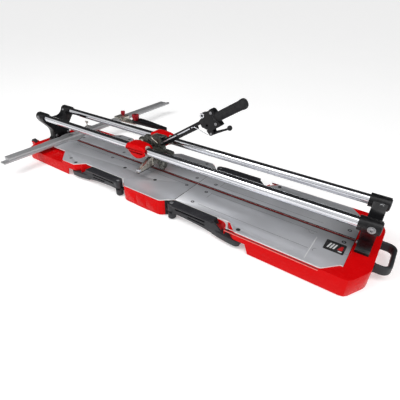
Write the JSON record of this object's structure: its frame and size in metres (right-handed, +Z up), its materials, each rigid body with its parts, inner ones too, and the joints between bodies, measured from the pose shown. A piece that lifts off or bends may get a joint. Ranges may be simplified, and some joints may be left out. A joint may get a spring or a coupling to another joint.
{
  "type": "tile cutter",
  "caption": "Long manual tile cutter: sprung table plates, twin guide rods, sliding scoring lever with breaker foot, swing-out side arms and a swivelling fence with a stop.",
  "frame": {"origin": "on the ground, under the middle of the table, on the sole of the middle housing", "axes": "+X along the guide rods towards the carrying handle, +Z up, -Y the front"},
  "size_m": [1.593, 1.07, 0.4083],
  "materials": {
    "aluminium": "satin, brushed along the rods",
    "anodised": "matt anodised grey",
    "red_plastic": "gloss moulded red",
    "black_plastic": "fine moulded grain",
    "black_paint": "satin black powder coat",
    "rubber": "matt",
    "chrome": "hard chrome, polished",
    "nickel": "nickel plated",
    "cast_metal": "dark cast metal, satin",
    "red_paint": "dark red, worn along the crest",
    "polymer": "pale self-lubricating polymer"
  },
  "bodies": {
    "base": {"base_beam": "aluminium", "breaking_bar": "red_paint", "left_housing": "red_plastic", "middle_housing": "red_plastic", "right_housing": "red_plastic", "front_left_foot": "rubber", "front_right_foot": "rubber", "rear_left_foot": "rubber", "rear_right_foot": "rubber", "front_left_cushion": "rubber", "front_right_cushion": "rubber", "rear_left_cushion": "rubber", "rear_right_cushion": "rubber", "left_rod_support": "black_paint", "right_rod_support": "black_paint", "front_rod": "chrome", "rear_rod": "chrome", "end_handle": "black_plastic", "front_roller_pin": "chrome", "rear_roller_pin": "chrome", "fence_pivot_bolt": "chrome", "front_left_arm_pin": "chrome", "front_right_arm_pin": "chrome", "rear_left_arm_pin": "chrome", "rear_right_arm_pin": "chrome"},
    "plate_front_left": {"front_left_plate": "aluminium"},
    "plate_front_right": {"front_right_plate": "aluminium"},
    "plate_rear_left": {"rear_left_plate": "aluminium"},
    "plate_rear_right": {"rear_right_plate": "aluminium"},
    "arm_front_left": {"front_left_arm": "black_plastic"},
    "arm_front_right": {"front_right_arm": "black_plastic"},
    "arm_rear_left": {"rear_left_arm": "black_plastic"},
    "arm_rear_right": {"rear_right_arm": "black_plastic"},
    "roller_front": {"front_roller": "rubber"},
    "roller_rear": {"rear_roller": "rubber"},
    "fence": {"fence_bar": "anodised"},
    "fence_screw": {"fence_t_screw": "nickel"},
    "stop": {"stop_bracket": "nickel"},
    "stop_lock": {"stop_lock_knob": "red_plastic"},
    "stop_finger": {"stop_arm": "black_plastic"},
    "stop_clamp": {"stop_arm_knob": "red_plastic"},
    "carriage": {"carriage_bridge": "cast_metal", "front_slider_cover": "red_plastic", "rear_slider_cover": "red_plastic", "front_rod_bush": "polymer", "rear_rod_bush": "polymer"},
    "pivot_cap": {"pivot_knob": "nickel"},
    "lever": {"lever_casting": "cast_metal", "lever_pin": "chrome", "wheel_axle": "chrome", "handle_bar": "black_paint", "handle_head": "black_paint", "handle_grip": "rubber", "trigger_pin": "chrome", "release_cable": "chrome"},
    "cutting_wheel": {"scoring_wheel": "nickel"},
    "release_trigger": {"trigger": "black_paint"},
    "foot": {"breaker_foot": "nickel", "front_foot_pad": "rubber", "rear_foot_pad": "rubber"}
  },
  "joints": [
    {"name": "plate_front_left_press", "type": "slide", "parent": "base", "child": "plate_front_left", "axis": [0, 0, 1], "range_m": [-0.003, 0], "stiffness_N_per_m": 20000, "springref_m": 0.002, "deforming": ["front_left_cushion"]},
    {"name": "plate_front_right_press", "type": "slide", "parent": "base", "child": "plate_front_right", "axis": [0, 0, 1], "range_m": [-0.003, 0], "stiffness_N_per_m": 20000, "springref_m": 0.002, "deforming": ["front_right_cushion"]},
    {"name": "plate_rear_left_press", "type": "slide", "parent": "base", "child": "plate_rear_left", "axis": [0, 0, 1], "range_m": [-0.003, 0], "stiffness_N_per_m": 20000, "springref_m": 0.002, "deforming": ["rear_left_cushion"]},
    {"name": "plate_rear_right_press", "type": "slide", "parent": "base", "child": "plate_rear_right", "axis": [0, 0, 1], "range_m": [-0.003, 0], "stiffness_N_per_m": 20000, "springref_m": 0.002, "deforming": ["rear_right_cushion"]},
    {"name": "arm_front_left_swing", "type": "hinge", "parent": "base", "child": "arm_front_left", "pos_m": [-0.131, -0.157, 0.03], "axis": [0, 0, 1], "range_deg": [0, 90]},
    {"name": "arm_front_right_swing", "type": "hinge", "parent": "base", "child": "arm_front_right", "pos_m": [0.131, -0.157, 0.03], "axis": [0, 0, -1], "range_deg": [0, 90]},
    {"name": "arm_rear_left_swing", "type": "hinge", "parent": "base", "child": "arm_rear_left", "pos_m": [-0.131, 0.157, 0.03], "axis": [0, 0, -1], "range_deg": [0, 90]},
    {"name": "arm_rear_right_swing", "type": "hinge", "parent": "base", "child": "arm_rear_right", "pos_m": [0.131, 0.157, 0.03], "axis": [0, 0, 1], "range_deg": [0, 90]},
    {"name": "roller_front_spin", "type": "hinge", "parent": "base", "child": "roller_front", "pos_m": [-0.775, -0.109, 0.044], "axis": [0, 1, 0], "continuous": true},
    {"name": "roller_rear_spin", "type": "hinge", "parent": "base", "child": "roller_rear", "pos_m": [-0.775, 0.109, 0.044], "axis": [0, 1, 0], "continuous": true},
    {"name": "fence_swivel", "type": "hinge", "parent": "base", "child": "fence", "pos_m": [-0.632, 0, 0.07], "axis": [0, 0, 1], "range_deg": [-30, 30]},
    {"name": "fence_screw_turn", "type": "hinge", "parent": "fence", "child": "fence_screw", "pos_m": [-0.69, 0.143, 0.08], "axis": [0, 0, 1], "continuous": true},
    {"name": "stop_slide", "type": "slide", "parent": "fence", "child": "stop", "axis": [0, 1, 0], "range_m": [-0.13, 0.3]},
    {"name": "stop_lock_turn", "type": "hinge", "parent": "stop", "child": "stop_lock", "pos_m": [-0.632, 0.346, 0.09], "axis": [0, 0, 1], "continuous": true},
    {"name": "stop_finger_swing", "type": "hinge", "parent": "stop", "child": "stop_finger", "pos_m": [-0.515, 0.326, 0.08], "axis": [0, 0, 1], "range_deg": [0, 90]},
    {"name": "stop_clamp_turn", "type": "hinge", "parent": "stop", "child": "stop_clamp", "pos_m": [-0.515, 0.326, 0.1], "axis": [0, 0, 1], "continuous": true},
    {"name": "carriage_slide", "type": "slide", "parent": "base", "child": "carriage", "axis": [1, 0, 0], "range_m": [-0.52, 0.65]},
    {"name": "pivot_cap_turn", "type": "hinge", "parent": "carriage", "child": "pivot_cap", "pos_m": [-0.12, -0.027, 0.182], "axis": [0, 1, 0], "continuous": true},
    {"name": "lever_lift", "type": "hinge", "parent": "carriage", "child": "lever", "pos_m": [-0.12, 0, 0.18], "axis": [0, 1, 0], "range_deg": [-50, 0]},
    {"name": "cutting_wheel_spin", "type": "hinge", "parent": "lever", "child": "cutting_wheel", "pos_m": [-0.042, 0, 0.079], "axis": [0, 1, 0], "continuous": true},
    {"name": "foot_drop", "type": "slide", "parent": "carriage", "child": "foot", "axis": [0, 0, -1], "range_m": [0, 0.014], "stiffness_N_per_m": 1500, "springref_m": -0.012},
    {"name": "trigger_pull", "type": "hinge", "parent": "lever", "child": "release_trigger", "pos_m": [0.18965, 0, 0.2773], "axis": [0, -1, 0], "range_deg": [0, 6]}
  ],
  "couplings": [
    {"joint": "trigger_pull", "follows": "foot_drop", "rad_per_m": 7.4}
  ]
}
